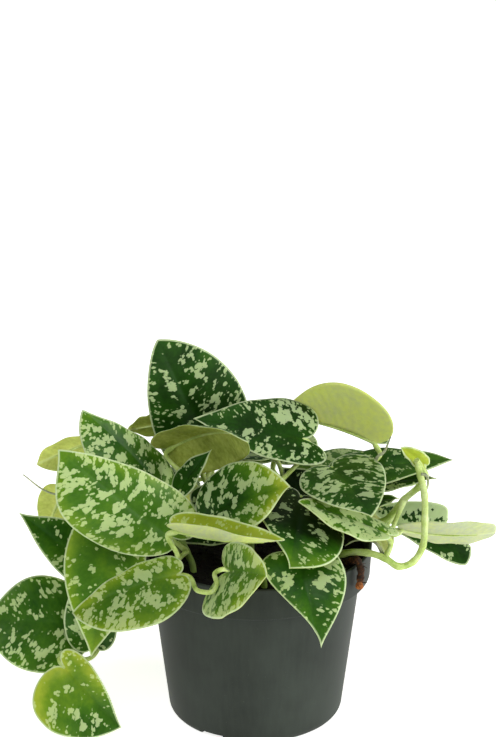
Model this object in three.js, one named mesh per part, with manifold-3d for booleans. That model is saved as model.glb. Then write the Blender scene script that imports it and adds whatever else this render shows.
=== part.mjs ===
// Satin pothos (Scindapsus pictus) in a plain 12 cm nursery pot.
// Millimetres, +Z up. The origin is the centre of the pot's underside, and -Y is the side that the plant faces.
import * as THREE from 'three';
import * as BufferGeometryUtils from 'three/addons/utils/BufferGeometryUtils.js';
import Module from 'manifold-3d';

const wasm = await Module();
wasm.setup();

// ---------------------------------------------------------------- driving dimensions
const GAP = 0.3;                 // clearance between pieces that touch on the real plant
const RIM_RADIUS = 60;           // nursery pot, outside of the rim
const RIM_TOP = 94.4;
const COLLAR_BOTTOM = 77.3;      // lower edge of the stepped collar
const COLLAR_RADIUS = 59;        // outside, at that edge
const SHOULDER_RADIUS = 54.3;    // body just under the collar
const BASE_RADIUS = 45.4;        // body just above its rounded foot
const FOOT_RADIUS = 5;           // rounding of the foot
const WALL = 1.8;
const FLOOR = 2.4;
const FLOOR_FILLET = 1;          // how much narrower the inside is at the floor than the wall alone makes it
const RIM_EDGE = 0.6;            // bevel of the rim's upper edge
const LEDGE_FALL = 1;            // slope of the ledge inside, behind the collar's lower edge
const POT_SIDES = 36;
const NOTCHES = 3;               // drain notches through the foot
const NOTCH = { width: 14, depth: 11, height: 3.4, firstAngle: -121 };

const SOIL_TOP = 85.5;
const SOIL_RINGS = [44, 30, 15]; // radii at which the lumpy top has points
const SOIL_LUMPS = [             // height, and turns per millimetre along x and y
  { height: 1.6, x: 0.21, y: 0.17 },
  { height: 0.5, x: 0.5, y: 0.33 },
];

const BLADE_THICKNESS = 0.8;
const BLADE_ROWS = 10;           // steps from the base of a blade to its tip
const BLADE_COLUMNS = 2;         // steps from the midrib to the margin
const LOBE_SHARE = 0.45;         // share of the rows that go to the rounded lobe
const STEM_RADIUS = 1.8;
const PETIOLE_RADIUS = 1.4;
const SHEATH_RADIUS = 0.8;
const CUT_THICKNESS = BLADE_THICKNESS + 3.4 * GAP;  // what a petiole's end is cut back by
const NOTCH_CLEARANCE = 1.1;
const PLUG_SIZE = 5;
const ROOTED_TO = 70;            // how deep the stems stand in the soil
const STEM_OUT = 89;             // where they leave their upright foot, just above it
const HOLE_RADIUS = (STEM_RADIUS + GAP) / Math.cos(Math.PI / 8);
const HOLE_DEPTH = 40;           // more than the soil above it, so that it is open at the top
const COMES_FROM = { behind: 5, below: 4 };  // the side from which a petiole reaches the notch of its blade
const SET_IN = 0.6;              // how far under the blade's middle plane a petiole stops
const DRY_ROOT_RADIUS = 2;
const DRY_ROOT = [[43, -22, 91], [47.5, -28, 95], [50.5, -32.4, 98.4], [52.6, -35.6, 94], [52.4, -35.4, 89],
  [52, -35, 84]];

const DEG = Math.PI / 180;
const vec = (p) => new THREE.Vector3(...p);

// ---------------------------------------------------------------- materials
const finish = (color, roughness) => new THREE.MeshStandardMaterial({ color, roughness, metalness: 0 });
const COLORS = { pot: '#3c423d', soil: '#14100c', root: '#4a2c16', vine: '#a3b567', leaf: '#2f5419',
  young: '#8fa83a' };

// ---------------------------------------------------------------- solids
function toSolid(geometry) {
  const bare = geometry.clone();
  bare.deleteAttribute('normal');
  bare.deleteAttribute('uv');
  const merged = BufferGeometryUtils.mergeVertices(bare, 1e-4);
  const vertProperties = new Float32Array(merged.attributes.position.array);
  const triVerts = new Uint32Array(merged.index.array);
  return new wasm.Manifold(new wasm.Mesh({ numProp: 3, vertProperties, triVerts }));
}

function toGeometry(solid) {
  const mesh = solid.getMesh();
  const geometry = new THREE.BufferGeometry();
  geometry.setAttribute('position', new THREE.BufferAttribute(new Float32Array(mesh.vertProperties), 3));
  geometry.setIndex(new THREE.BufferAttribute(new Uint32Array(mesh.triVerts), 1));
  geometry.computeVertexNormals();
  return geometry;
}

const largestBody = (solid) => solid.decompose().sort((a, b) => b.volume() - a.volume())[0];

function tube(points, radius, sides, steps) {
  const section = new THREE.Shape();
  for (let k = 0; k < sides; k += 1) {
    const angle = (2 * Math.PI * k) / sides;
    section[k ? 'lineTo' : 'moveTo'](radius * Math.cos(angle), radius * Math.sin(angle));
  }
  const extrudePath = new THREE.CatmullRomCurve3(points, false, 'centripetal');
  return new THREE.ExtrudeGeometry(section, { steps, extrudePath, bevelEnabled: false });
}

// ---------------------------------------------------------------- leaf blades
// Half of a blade's outline, in lengths of the midrib and in half widths: out of the notch, round the lobe, to
// the tip. widest is how far along the blade is broadest, lobes how far it reaches back past the notch, and blunt
// fills out the flank near the tip. Each is one number, or one for the right half and one for the left.
const flat = (x, y) => new THREE.Vector2(x, y);
const sided = (value, side) => value?.[side > 0 ? 1 : 0] ?? value;

function margin(leaf, s, side) {
  const widest = sided(leaf.widest ?? 0.25, side);
  const lobes = sided(leaf.lobes ?? 1, side);
  const blunt = sided(leaf.blunt ?? 0, side);
  if (s < LOBE_SHARE) {
    const lobe = [flat(0, 0), flat(-0.2 * lobes, 0.1), flat(widest - 0.39 * lobes, 1), flat(widest, 1)];
    return new THREE.CubicBezierCurve(...lobe).getPoint(s / LOBE_SHARE);
  }
  const nearTip = flat(0.8 + 0.14 * blunt, 0.24 + 0.36 * blunt);
  const flank = [flat(widest, 1), flat(widest + 0.33, 1), nearTip, flat(1, 0)];
  return new THREE.CubicBezierCurve(...flank).getPoint((s - LOBE_SHARE) / (1 - LOBE_SHARE));
}

// arch bends the midrib along its length, fold and curl lift or drop each half, all in degrees.
function bladePoint(leaf, s, q, side, lift) {
  const base = vec(leaf.base);
  const chord = vec(leaf.tip).sub(base);
  const along = chord.clone().normalize();
  const up = vec(leaf.faces);
  up.addScaledVector(along, -up.dot(along)).normalize();
  const bend = (leaf.arch ?? 18) * DEG;
  const length = (chord.length() * bend) / (2 * Math.sin(bend / 2));
  const edge = margin(leaf, s, side);
  const x = THREE.MathUtils.lerp(s ** 1.6, edge.x, q) * length;
  const theta = bend * (x / length - 0.5);
  const radius = length / bend;
  const point = base.clone()
    .addScaledVector(along, radius * (Math.sin(theta) + Math.sin(bend / 2)))
    .addScaledVector(up, radius * (Math.cos(theta) - Math.cos(bend / 2)));
  const tangent = along.clone().multiplyScalar(Math.cos(theta)).addScaledVector(up, -Math.sin(theta));
  const normal = up.clone().multiplyScalar(Math.cos(theta)).addScaledVector(along, Math.sin(theta));
  const across = new THREE.Vector3().crossVectors(normal, tangent).multiplyScalar(side);
  const half = (leaf.width / 2) * (1 + side * (leaf.lean ?? 0.06));
  const reach = q * edge.y * half;
  const fold = (leaf.fold ?? 10) * DEG;
  const curve = (leaf.curl || -20) * DEG / half;
  const slope = fold + curve * reach;
  point.addScaledVector(across, (Math.sin(slope) - Math.sin(fold)) / curve);
  point.addScaledVector(normal, (Math.cos(fold) - Math.cos(slope)) / curve);
  const outward = q === 0 || s === 0 || s === 1
    ? normal
    : normal.clone().multiplyScalar(Math.cos(slope)).addScaledVector(across, -Math.sin(slope));
  return point.addScaledVector(outward, lift);
}

// Both faces share one pattern of triangles, and a rim joins them round the margin.
function bladeGeometry(leaf, thickness = BLADE_THICKNESS) {
  const n = BLADE_ROWS;
  const m = BLADE_COLUMNS;
  const positions = [];
  const ids = new Map();
  const vertex = (i, j, face) => {
    const pole = i === 0 || i === n;
    const key = `${i}/${pole ? 0 : j}/${face}`;
    if (!ids.has(key)) {
      const p = bladePoint(leaf, i / n, pole ? 0 : Math.abs(j) / m, Math.sign(j) || 1, (face * thickness) / 2);
      ids.set(key, positions.length / 3);
      positions.push(p.x, p.y, p.z);
    }
    return ids.get(key);
  };
  const index = [];
  const patch = (a, b, c) => {
    const corners = [a, b, c].map(([i, j]) => `${i}/${i === 0 || i === n ? 0 : j}`);
    if (new Set(corners).size < 3) return;
    index.push(vertex(...a, 1), vertex(...b, 1), vertex(...c, 1));
    index.push(vertex(...a, -1), vertex(...c, -1), vertex(...b, -1));
  };
  for (let i = 0; i < n; i += 1) {
    for (let j = 0; j < m; j += 1) {
      patch([i, j], [i + 1, j], [i + 1, j + 1]);
      patch([i, j], [i + 1, j + 1], [i, j + 1]);
      patch([i, -j], [i + 1, -j - 1], [i + 1, -j]);
      patch([i, -j], [i, -j - 1], [i + 1, -j - 1]);
    }
    const rim = (a, b) => {
      index.push(vertex(...a, 1), vertex(...b, 1), vertex(...b, -1));
      index.push(vertex(...a, 1), vertex(...b, -1), vertex(...a, -1));
    };
    rim([i, m], [i + 1, m]);
    rim([i + 1, -m], [i, -m]);
  }
  const geometry = new THREE.BufferGeometry();
  geometry.setAttribute('position', new THREE.Float32BufferAttribute(positions, 3));
  geometry.setIndex(index);
  geometry.computeVertexNormals();
  return geometry;
}

// ---------------------------------------------------------------- the plant
// Each vine: the route of its stem, which starts upright in the soil.
const VINES = {
  vine_crown: [[-20, 18, STEM_OUT], [-22, 24, 101], [-26, 36, 112]],
  vine_left_front: [[-32, -20, STEM_OUT], [-35, -22, 98], [-40, -20, 110]],
  vine_left: [[-41, 2, STEM_OUT], [-48, 0, 100], [-60, -3, 103], [-69, -4, 99], [-72, 2, 86], [-76, 0, 68]],
  vine_centre: [[-2, -14, STEM_OUT], [-2, -10, 102], [6, -2, 120]],
  vine_front: [[4, -40, STEM_OUT], [2, -43, 96]],
  vine_top: [[20, 18, STEM_OUT], [28, 18, 106], [38, 24, 116]],
  vine_right: [[36, -22, STEM_OUT], [44, -27, 99], [56, -28, 100], [65, -28, 97], [72, -27, 92], [80, -21, 92],
    [85, -15, 98], [86, -10, 110], [86, -4, 121], [84, 1, 130], [82, 4, 137]],
  vine_right_back: [[40, 10, STEM_OUT], [52, 15, 99], [66, 15, 98], [77, 14, 111], [84, 9, 120], [87, 7, 124]],
  vine_back_left: [[-24, 34, STEM_OUT], [-33, 48, 101], [-38, 60, 101]],
  vine_back_right: [[18, 36, STEM_OUT], [20, 50, 102], [18, 60, 102]],
};

// Dried sheaths and tendrils that stay on the vines.
const SHEATHS = [
  { vine: 'vine_top', route: [[61, 15, 131], [63, 14, 135], [66, 13, 138], [68, 11, 144], [69, 9, 148]] },
  { vine: 'vine_left', route: [[-68, -2, 120], [-84, -6, 124], [-98, -6, 122], [-107, -7, 125],
    [-118, -5, 133]] },
  { vine: 'vine_right', route: [[84, 0, 131], [87, 1, 130], [88, 0, 126], [86, -4, 121]] },
  { vine: 'vine_right', route: [[65, -26, 96], [60, -24, 104], [50, -22, 104], [45, -24, 102]] },
];

// Each leaf: its vine and the stem point that its petiole leaves, the base and tip of its blade, the points that
// the petiole passes (via), the way its upper side faces, its width, and how much wider its left half is (lean).
const LEAVES = [
  { name: 'leaf_crown', vine: 'vine_crown', node: 2, base: [-22, 34, 129], tip: [-50, 22, 196],
    faces: [0.1, -0.9, 0.3], width: 52, lean: -0.08, widest: [0.35, 0.25], blunt: [0.85, 0.7] },
  { name: 'leaf_left_upper', vine: 'vine_left_front', node: 2, base: [-50, -10, 129], tip: [-86, -20, 174],
    faces: [0.68, -0.5, 0.5], width: 41, lean: 0.18, widest: [0.03, 0.5], lobes: [0.8, 1],
    blunt: [0, 1.3] },
  { name: 'leaf_left_front', vine: 'vine_left_front', node: 1, base: [-42, -38, 113], tip: [-96, -52, 166],
    faces: [0.4, -0.88, 0.2], width: 47, lean: 0.12, widest: [0.12, 0.55], lobes: [0.9, 1],
    blunt: [0.4, 0.5], curl: -30 },
  { name: 'leaf_arching', vine: 'vine_crown', node: 1, base: [-42, 19, 139], tip: [-4, -30, 161],
    via: [[-33, 12, 122]], faces: [0.3, 0.8, 0.45], width: 40, lean: 0.0, blunt: 1, arch: 54, fold: -20 },
  { name: 'leaf_folded', vine: 'vine_left_front', node: 2, base: [-38, -14, 128], tip: [-22, -8, 148],
    faces: [-0.7, -0.5, 0.4], width: 17, fold: 15 },
  { name: 'leaf_top', vine: 'vine_centre', node: 2, base: [25, 16, 144], tip: [-32, 11, 157],
    faces: [0.31, -0.48, 0.82], width: 42, lean: -0.12, widest: [0.08, 0.25], lobes: [0.75, 1.5],
    blunt: [0, 0.2] },
  { name: 'leaf_right_upper', vine: 'vine_top', node: 1, base: [62, 34, 135], tip: [9, 40, 148],
    via: [[46, 4, 113], [61, 15, 131]], faces: [0.1, 0.5, 0.85], width: 49, lean: 0.25,
    widest: [0.42, 0.42], lobes: [1.3, 1.3], blunt: [-0.1, -0.1], arch: 20, fold: 48 },
  { name: 'leaf_centre', vine: 'vine_centre', node: 1, base: [-26, -22, 117], tip: [17, -39, 141],
    faces: [-0.5, -0.56, 0.66], width: 42, lean: -0.02, widest: [0.5, 0.4], lobes: [0.5, 1],
    blunt: [0.3, 0.6], arch: 26, fold: 22 },
  { name: 'leaf_rolled', vine: 'vine_left_front', node: 1, base: [-38, -52, 123], tip: [14, -65, 124],
    via: [[-39, -42, 103], [-39, -48, 109]], faces: [0, -0.15, 0.99], width: 22, blunt: [0, 0.6], arch: -26,
    fold: 40, curl: 50, young: true },
  { name: 'leaf_shaded', vine: 'vine_centre', node: 0, base: [-12, -6, 103], tip: [-39, -12, 98],
    faces: [-0.2, -0.6, 0.75], width: 20, lean: -0.25 },
  { name: 'leaf_front', vine: 'vine_front', node: 1, base: [-13, -73, 111], tip: [5, -108, 125],
    faces: [-0.84, -0.33, 0.42], width: 39.5, lean: -0.27, lobes: [2.8, 2], blunt: [1.2, 1.2], fold: 22 },
  { name: 'leaf_front_left', vine: 'vine_front', node: 1, base: [-38, -62, 104], tip: [-90, -68, 86],
    via: [[-10, -58, 103], [-15, -60, 106], [-20, -68, 107.5], [-19, -79, 106.5], [-21, -82, 104.5],
      [-28, -77, 102.5]],
    faces: [-0.21, -0.49, 0.85], width: 39, lean: 0.29, widest: [0.15, 0.35], lobes: [0.6, 1],
    blunt: [0.3, 0.9] },
  { name: 'leaf_hanging', vine: 'vine_left', node: 2, base: [-72, -27, 114], tip: [-83, -45, 50],
    faces: [0.1, -0.95, 0.2], width: 41, lean: -0.05 },
  { name: 'leaf_left_outer', vine: 'vine_left', node: 4, base: [-82, -12, 80], tip: [-120, -12, 115],
    faces: [0.3, -0.85, 0.45], width: 26, lean: -0.12, widest: [0.35, 0.25], blunt: [0, 0.2] },
  { name: 'leaf_left_low', vine: 'vine_left', node: 5, base: [-87, -20, 54], tip: [-139, -30, 64],
    faces: [-0.1, -0.85, 0.5], width: 50, lean: 0, widest: 0.42, lobes: 0.9, blunt: [0.3, 0.7] },
  { name: 'leaf_left_behind', vine: 'vine_left', node: 5, base: [-82.5, -31, 51], tip: [-85, -24, 92],
    via: [[-78, -14, 60]], faces: [0.05, -0.95, 0.3], width: 27, blunt: 0.4 },
  { name: 'leaf_lowest', vine: 'vine_left', node: 5, base: [-97, -43, 43.5], tip: [-68, -52, 14],
    via: [[-78, -18, 52], [-84, -34, 44]], faces: [-0.3, -0.85, 0.4], width: 40, lean: -0.37,
    widest: [0.3, 0.15], blunt: [0.7, 0.1], fold: 20 },
  { name: 'leaf_left_turned', vine: 'vine_left', node: 2, base: [-80, 2, 149], tip: [-112, 6, 134],
    faces: [0.2, 0.8, 0.5], width: 23, lean: -0.3, widest: [0.45, 0.5], blunt: [1.2, 0.6] },
  { name: 'leaf_left_small', vine: 'vine_left', node: 3, base: [-99, 0, 121], tip: [-109, 6, 94],
    faces: [0.3, 0.8, 0.5], width: 22, lean: -0.05, blunt: 0.5 },
  { name: 'leaf_crown_turned', vine: 'vine_crown', node: 2, base: [-45, 40, 143], tip: [-67, 40, 139],
    faces: [0, 0.8, 0.6], width: 24, lean: -0.1, blunt: 0.6 },
  { name: 'leaf_right', vine: 'vine_top', node: 1, base: [39, 5, 133], tip: [57, -42, 126],
    faces: [0.03, -0.11, 0.99], width: 49, lean: 0.0, widest: [0.38, 0.08], lobes: [0.8, 1.1],
    blunt: [0.4, 0.5] },
  { name: 'leaf_right_front', vine: 'vine_right', node: 3, base: [66, -25, 109], tip: [21, -35, 131],
    faces: [0.45, -0.02, 0.9], width: 34, lean: 0.22, widest: [0.1, 0.45], lobes: [1, 0.6],
    blunt: [1.2, 0.9], arch: 10 },
  { name: 'leaf_over_rim', vine: 'vine_right', node: 0, base: [23, -10, 123], tip: [16, -70, 111],
    faces: [0.2, -0.5, 0.84], width: 46, lean: 0.07, widest: [0.3, 0.5], lobes: [1, 0.7],
    blunt: [-0.3, 1] },
  { name: 'leaf_right_under', vine: 'vine_top', node: 2, base: [61, 27, 113], tip: [95, 30, 116],
    faces: [0.1, -0.2, 0.97], width: 16 },
  { name: 'leaf_front_right', vine: 'vine_front', node: 1, base: [20, -48, 108], tip: [32, -72, 69],
    via: [[14, -38, 100]], faces: [0.05, -0.88, 0.46], width: 39, lean: 0.07, widest: [0.05, 0.28],
    lobes: [0.5, 1], blunt: [-0.9, 0], arch: 50 },
  { name: 'leaf_right_back', vine: 'vine_top', node: 2, base: [46, 24, 121], tip: [104, 36, 124],
    faces: [0.1, -0.15, 0.98], width: 34, blunt: 0.2, arch: 12 },
  { name: 'leaf_shoot', vine: 'vine_right', node: 10, base: [87, 12, 131], tip: [74, 9, 142],
    via: [[88, 8, 127]], faces: [0.2, -0.8, 0.55], width: 10, blunt: 0.8, arch: 40, fold: 25, young: true },
  { name: 'leaf_right_turned', vine: 'vine_right_back', node: 1, base: [66, 31, 98], tip: [102, 37, 89],
    faces: [0.38, -0.86, 0.08], width: 16, widest: [0.4, 0.7], blunt: [1.5, 1] },
  { name: 'leaf_right_outer', vine: 'vine_right_back', node: 3, base: [76, 5, 98], tip: [124, 6, 96],
    faces: [-0.15, 0.72, 0.68], width: 29, lean: -0.1, widest: 0.55, blunt: 1.5, arch: -18 },
  { name: 'leaf_right_low', vine: 'vine_right_back', node: 3, base: [74, 25, 89], tip: [113, 22, 74],
    faces: [0.3, -0.6, 0.74], width: 16, widest: 0.7, lobes: 0.6, blunt: 1.2 },
  { name: 'leaf_right_inner', vine: 'vine_right_back', node: 1, base: [55, 14, 108], tip: [75, 20, 109],
    faces: [0.2, 0, 0.98], width: 17 },
  { name: 'leaf_inner', vine: 'vine_crown', node: 0, base: [-22, 8, 106], tip: [-14, 10, 124],
    faces: [-0.1, -0.95, 0.2], width: 28 },
  { name: 'leaf_back_left', vine: 'vine_back_left', node: 1, base: [-50, 54, 104], tip: [-90, 84, 96],
    faces: [-0.2, 0.2, 0.95], width: 44 },
  { name: 'leaf_back_centre', vine: 'vine_back_left', node: 2, base: [-24, 66, 108], tip: [-30, 112, 96],
    faces: [0, 0.4, 0.9], width: 46 },
  { name: 'leaf_back_right', vine: 'vine_back_right', node: 1, base: [36, 56, 108], tip: [70, 94, 104],
    faces: [0.2, 0.3, 0.92], width: 46 },
  { name: 'leaf_back_upper', vine: 'vine_back_right', node: 1, base: [10, 54, 117], tip: [14, 104, 122],
    faces: [0, -0.1, 1], width: 48 },
  { name: 'leaf_back_low_left', vine: 'vine_back_left', node: 2, base: [-46, 72, 90], tip: [-62, 88, 44],
    faces: [-0.4, 0.8, 0.3], width: 42 },
  { name: 'leaf_back_low_right', vine: 'vine_back_right', node: 2, base: [22, 72, 92], tip: [28, 84, 34],
    faces: [0.1, 0.95, 0.2], width: 46 },
  { name: 'leaf_side_right', vine: 'vine_back_right', node: 1, base: [54, 50, 94], tip: [72, 70, 52],
    faces: [0.7, 0.6, 0.4], width: 38 },
  { name: 'leaf_back_inner', vine: 'vine_back_right', node: 0, base: [8, 46, 123], tip: [-22, 58, 120],
    faces: [0, 0.1, 0.98], width: 33 },
  { name: 'leaf_side_left', vine: 'vine_back_left', node: 0, base: [-62, 20, 110], tip: [-100, 38, 124],
    faces: [0.3, 0.1, 0.95], width: 40 },
  { name: 'leaf_back_under_left', vine: 'vine_back_left', node: 0, base: [-34, 32, 112],
    tip: [-60, 44, 119], faces: [-0.15, 0.35, 0.9], width: 30 },
  { name: 'leaf_back_under_centre', vine: 'vine_back_left', node: 1, base: [-8, 44, 99], tip: [8, 34, 103],
    faces: [-0.1, 0.25, 0.96], width: 28 },
  { name: 'leaf_back_under_right', vine: 'vine_back_right', node: 0, base: [31, 30, 104],
    tip: [14, 35, 120.5], faces: [0.1, -0.85, 0.5], width: 24 },
];

// ---------------------------------------------------------------- build
const plant = new THREE.Group();

function add(name, geometry, color, roughness) {
  const mesh = new THREE.Mesh(geometry, finish(color, roughness));
  mesh.name = name;
  plant.add(mesh);
}

// The foot's rounding as points from the flat base up to the wall.
function footPoints(steps) {
  const lean = Math.atan2(SHOULDER_RADIUS - BASE_RADIUS, COLLAR_BOTTOM - FOOT_RADIUS);
  return Array.from({ length: steps + 1 }, (_, k) => {
    const angle = (k / steps) * (90 * DEG - lean);
    return flat(BASE_RADIUS - FOOT_RADIUS * (1 - Math.sin(angle)), FOOT_RADIUS * (1 - Math.cos(angle)));
  });
}

function innerRadius(z) {
  const atFloor = BASE_RADIUS - WALL - FLOOR_FILLET;
  return THREE.MathUtils.mapLinear(z, FLOOR, COLLAR_BOTTOM, atFloor, SHOULDER_RADIUS - WALL);
}

function potSolid() {
  const ledge = COLLAR_BOTTOM + WALL;
  const profile = [
    flat(0, 0), ...footPoints(3), flat(SHOULDER_RADIUS, COLLAR_BOTTOM), flat(COLLAR_RADIUS, COLLAR_BOTTOM),
    flat(RIM_RADIUS, RIM_TOP - RIM_EDGE), flat(RIM_RADIUS - RIM_EDGE, RIM_TOP),
    flat(RIM_RADIUS - WALL, RIM_TOP), flat(COLLAR_RADIUS - WALL, ledge),
    flat(innerRadius(COLLAR_BOTTOM), ledge - LEDGE_FALL),
    flat(innerRadius(FLOOR), FLOOR), flat(0, FLOOR),
  ];
  let pot = toSolid(new THREE.LatheGeometry(profile, POT_SIDES).rotateX(Math.PI / 2));
  for (let k = 0; k < NOTCHES; k += 1) {
    const notch = new THREE.BoxGeometry(2 * NOTCH.depth, NOTCH.width, 2 * NOTCH.height);
    notch.translate(BASE_RADIUS + 1, 0, 0);
    notch.rotateZ((NOTCH.firstAngle + (360 / NOTCHES) * k) * DEG);
    pot = pot.subtract(toSolid(notch));
  }
  return pot;
}

// Loose compost that fills the pot, with a lumpy top and a plain hole for each stem.
function soilSolid() {
  const ledge = COLLAR_BOTTOM + WALL;
  const side = COLLAR_RADIUS - WALL - GAP;
  const profile = [
    flat(0, FLOOR + GAP), flat(innerRadius(FLOOR) - GAP, FLOOR + GAP),
    flat(innerRadius(COLLAR_BOTTOM) - GAP, ledge - LEDGE_FALL + GAP), flat(side, ledge + GAP),
    flat(side, SOIL_TOP),
    ...SOIL_RINGS.map((r) => flat(r, SOIL_TOP)), flat(0, SOIL_TOP),
  ];
  const geometry = new THREE.LatheGeometry(profile, POT_SIDES).rotateX(Math.PI / 2);
  const position = geometry.attributes.position;
  for (let k = 0; k < position.count; k += 1) {
    const [x, y, z] = [position.getX(k), position.getY(k), position.getZ(k)];
    const waves = SOIL_LUMPS.map((lump) => lump.height * Math.sin(lump.x * x) * Math.cos(lump.y * y));
    if (z >= SOIL_TOP) position.setZ(k, z + waves.reduce((sum, wave) => sum + wave));
  }
  let soil = toSolid(geometry);
  for (const route of Object.values(VINES)) {
    const [x, y] = route[0];
    const hole = new THREE.CylinderGeometry(HOLE_RADIUS, HOLE_RADIUS, HOLE_DEPTH, 8).rotateX(Math.PI / 2);
    soil = soil.subtract(toSolid(hole.translate(x, y, ROOTED_TO - GAP + HOLE_DEPTH / 2)));
  }
  return soil;
}

// A petiole leaves its stem point and comes up under the notch of its blade.
function petioleRoute(leaf) {
  const start = vec(VINES[leaf.vine][leaf.node]);
  const base = bladePoint(leaf, 0, 0, 1, 0);
  const ahead = bladePoint(leaf, 0.2, 0, 1, 0).sub(base).normalize();
  const above = bladePoint(leaf, 0, 0, 1, 1).sub(base);
  const under = base.clone().addScaledVector(ahead, -COMES_FROM.behind);
  under.addScaledVector(above, -COMES_FROM.below);
  return [start, ...(leaf.via ?? []).map(vec), under, base.addScaledVector(above, -SET_IN)];
}

// The same blade, wider and with its notch set further back, so that it also clears what ends in the notch.
function widened(leaf, setBack) {
  const back = vec(leaf.base).sub(vec(leaf.tip)).setLength(setBack);
  const cutter = { ...leaf, base: vec(leaf.base).add(back).toArray(), width: leaf.width + 4 * GAP };
  return bladeGeometry(cutter, CUT_THICKNESS);
}

// What fills a blade's notch, from just under the blade upwards.
function notchPlug(leaf) {
  const base = bladePoint(leaf, 0, 0, 1, 0);
  const above = bladePoint(leaf, 0, 0, 1, 1).sub(base);
  const plug = new THREE.CylinderGeometry(PLUG_SIZE, PLUG_SIZE, PLUG_SIZE, 8);
  plug.translate(0, (PLUG_SIZE - CUT_THICKNESS) / 2, 0);
  plug.applyQuaternion(new THREE.Quaternion().setFromUnitVectors(new THREE.Vector3(0, 1, 0), above));
  return plug.translate(base.x, base.y, base.z);
}

// A vine is one body: stem, petioles and sheaths, each petiole cut clear of its own blade.
function vineSolid(name) {
  const own = LEAVES.filter((leaf) => leaf.vine === name);
  const stem = VINES[name].map(vec);
  const rooted = STEM_OUT + 1 - ROOTED_TO;
  const foot = new THREE.CylinderGeometry(STEM_RADIUS, STEM_RADIUS, rooted, 6).rotateX(Math.PI / 2);
  foot.translate(stem[0].x, stem[0].y, ROOTED_TO + rooted / 2);
  let vine = toSolid(foot).add(toSolid(tube(stem, STEM_RADIUS, 6, 2 * (stem.length - 1))));
  for (const leaf of own) {
    const route = petioleRoute(leaf);
    let petiole = toSolid(tube(route, PETIOLE_RADIUS, 5, 2 * (route.length - 1)));
    for (const cutter of [notchPlug(leaf), ...[0, NOTCH_CLEARANCE].map((back) => widened(leaf, back))]) {
      petiole = petiole.subtract(toSolid(cutter));
    }
    vine = vine.add(largestBody(petiole));
  }
  for (const sheath of SHEATHS.filter((item) => item.vine === name)) {
    vine = vine.add(toSolid(tube(sheath.route.map(vec), SHEATH_RADIUS, 4, 2 * (sheath.route.length - 1))));
  }
  return vine.simplify(0.03);
}

plant.name = 'satin_pothos';
add('pot', toGeometry(potSolid()), COLORS.pot, 0.45);
add('soil', toGeometry(soilSolid()), COLORS.soil, 0.95);
add('dry_root', toGeometry(toSolid(tube(DRY_ROOT.map(vec), DRY_ROOT_RADIUS, 6, 10))), COLORS.root, 0.85);
for (const name of Object.keys(VINES)) add(name, toGeometry(vineSolid(name)), COLORS.vine, 0.5);
for (const leaf of LEAVES) add(leaf.name, bladeGeometry(leaf), leaf.young ? COLORS.young : COLORS.leaf, 0.4);

export default plant;
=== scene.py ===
# %% [markdown]
# # A satin pothos in its nursery pot
# A young climbing plant in a 12 cm plastic nursery pot. Its separate pieces are the pot, the compost, a dry
# root, ten rooted vines and a blade for each leaf. Each cell below makes one kind of piece or one finish.

# %% Load the frame
import math

import bmesh
import bpy
import numpy as np
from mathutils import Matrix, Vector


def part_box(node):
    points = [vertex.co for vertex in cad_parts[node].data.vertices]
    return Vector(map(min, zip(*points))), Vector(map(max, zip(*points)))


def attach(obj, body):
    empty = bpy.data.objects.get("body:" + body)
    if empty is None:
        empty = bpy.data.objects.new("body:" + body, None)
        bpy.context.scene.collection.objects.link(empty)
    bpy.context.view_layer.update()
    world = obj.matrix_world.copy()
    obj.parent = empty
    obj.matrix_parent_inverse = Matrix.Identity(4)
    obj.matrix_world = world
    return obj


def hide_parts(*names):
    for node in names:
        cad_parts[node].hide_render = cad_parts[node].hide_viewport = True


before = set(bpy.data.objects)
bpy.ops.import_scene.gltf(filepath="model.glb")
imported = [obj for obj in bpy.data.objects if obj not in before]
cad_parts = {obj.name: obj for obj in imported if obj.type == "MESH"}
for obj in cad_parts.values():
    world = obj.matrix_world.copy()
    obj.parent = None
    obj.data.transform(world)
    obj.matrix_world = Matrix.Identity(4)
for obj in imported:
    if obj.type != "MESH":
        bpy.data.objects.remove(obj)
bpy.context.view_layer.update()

MM = 0.001


def linear(code):
    """An sRGB colour such as #20301f as the linear numbers that a shader takes."""
    channels = [int(code[at:at + 2], 16) / 255 for at in (1, 3, 5)]
    return [c / 12.92 if c <= 0.04045 else ((c + 0.055) / 1.055) ** 2.4 for c in channels] + [1.0]


def add(tree, kind, inputs=(), stops=(), **settings):
    """One node: settings, inputs by name or by place, and the stops of a colour ramp."""
    made = tree.nodes.new(kind)
    for name, value in settings.items():
        setattr(made, name, value)
    usable = [socket for socket in made.inputs if not socket.is_unavailable]
    for key, value in inputs.items() if isinstance(inputs, dict) else enumerate(inputs):
        socket = usable[key] if isinstance(key, int) else next(s for s in usable if s.name == key)
        if isinstance(value, bpy.types.Node):
            value = next(s for s in value.outputs if not s.is_unavailable)
        if isinstance(value, bpy.types.NodeSocket):
            tree.links.new(value, socket)
        else:
            socket.default_value = value
    for place, (at, code) in enumerate(stops):
        elements = made.color_ramp.elements
        stop = elements[place] if place < 2 else elements.new(at)
        stop.position = at
        stop.color = linear(code)
    return made


def calc(tree, operation, *values):
    return add(tree, "ShaderNodeMath", values, operation=operation)


def vector(tree, operation, *values):
    return add(tree, "ShaderNodeVectorMath", values, operation=operation)


def scaled(tree, value, by, plus):
    return calc(tree, "MULTIPLY_ADD", value, by, plus)


def spread(tree, value, low, high, at_low, at_high, **settings):
    """Maps low to at_low and high to at_high, and stays level outside them."""
    return add(tree, "ShaderNodeMapRange", [value, low, high, at_low, at_high], **settings)


def eased(*values):
    """The same with soft ends."""
    return spread(*values, interpolation_type="SMOOTHSTEP")


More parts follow.
